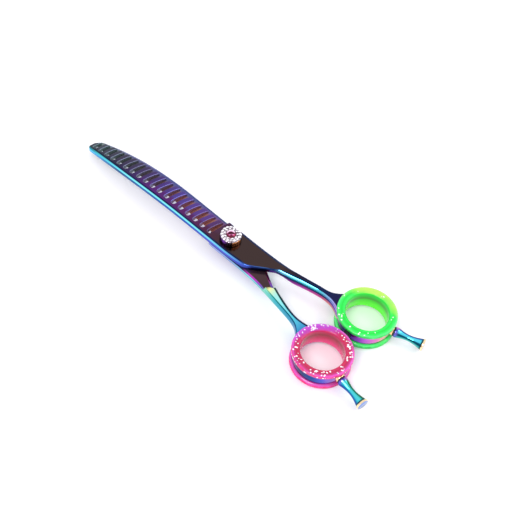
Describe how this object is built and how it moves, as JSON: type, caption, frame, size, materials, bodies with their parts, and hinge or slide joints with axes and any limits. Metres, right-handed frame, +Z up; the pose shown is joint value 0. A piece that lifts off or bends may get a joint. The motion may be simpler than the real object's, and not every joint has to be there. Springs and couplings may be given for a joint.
{
  "type": "thinning shears",
  "caption": "Curved thinning shears with one toothed and one plain blade, jewelled tension dial, soft finger inserts and screw-in finger rests.",
  "frame": {"origin": "middle of the box around the closed shears, on the table they lie on", "axes": "+X along the length towards the blade tips, +Z up off the table, +Y across towards the plain half's finger ring"},
  "size_m": [0.1894, 0.0554, 0.0147],
  "materials": {
    "toothed_steel": "mirror-polished titanium rainbow coating, brown to violet to dark green along the blade",
    "plain_steel": "mirror-polished titanium rainbow coating, blue to teal",
    "rest_steel": "mirror-polished titanium rainbow coating, teal with a lilac foot and a blue end disc",
    "screw_steel": "fine turned steel with a thin coating",
    "spring_steel": "satin spring steel",
    "bronze": "satin sintered bronze",
    "nylon": "satin white nylon",
    "dial_metal": "dark polished metal with a bronze tint",
    "cup_metal": "bright polished metal",
    "pink_stone": "faceted pink-purple crystal",
    "clear_stone": "faceted clear crystal",
    "green_silicone": "glossy translucent silicone with a few glitter flakes",
    "pink_silicone": "glossy translucent silicone with many glitter flakes",
    "black_rubber": "satin black rubber"
  },
  "bodies": {
    "plain_side": {"plain_half": "plain_steel", "pivot_screw": "screw_steel", "glide_washer": "nylon", "pink_insert": "pink_silicone", "pink_finger_rest": "rest_steel", "pink_rest_washer": "black_rubber"},
    "toothed_side": {"toothed_half": "toothed_steel", "pivot_bushing": "bronze", "nylon_washer": "nylon", "spring_washer": "spring_steel", "click_plate": "spring_steel", "green_insert": "green_silicone", "green_finger_rest": "rest_steel", "green_rest_washer": "black_rubber", "ring_bumper": "black_rubber"},
    "dial": {"tension_dial": "dial_metal", "jewel_cup": "cup_metal", "centre_crystal": "pink_stone", "inner_crystals": "clear_stone", "outer_crystals": "clear_stone"}
  },
  "joints": [
    {"name": "blade_pivot", "type": "hinge", "parent": "plain_side", "child": "toothed_side", "pos_m": [0.00131, -0.0011, 0.00795], "axis": [-0.0419, 0, 0.9991], "range_deg": [0, 70]},
    {"name": "dial_turn", "type": "hinge", "parent": "plain_side", "child": "dial", "pos_m": [0.00131, -0.0011, 0.00795], "axis": [-0.0419, 0, 0.9991], "range_deg": [-180, 180]}
  ]
}
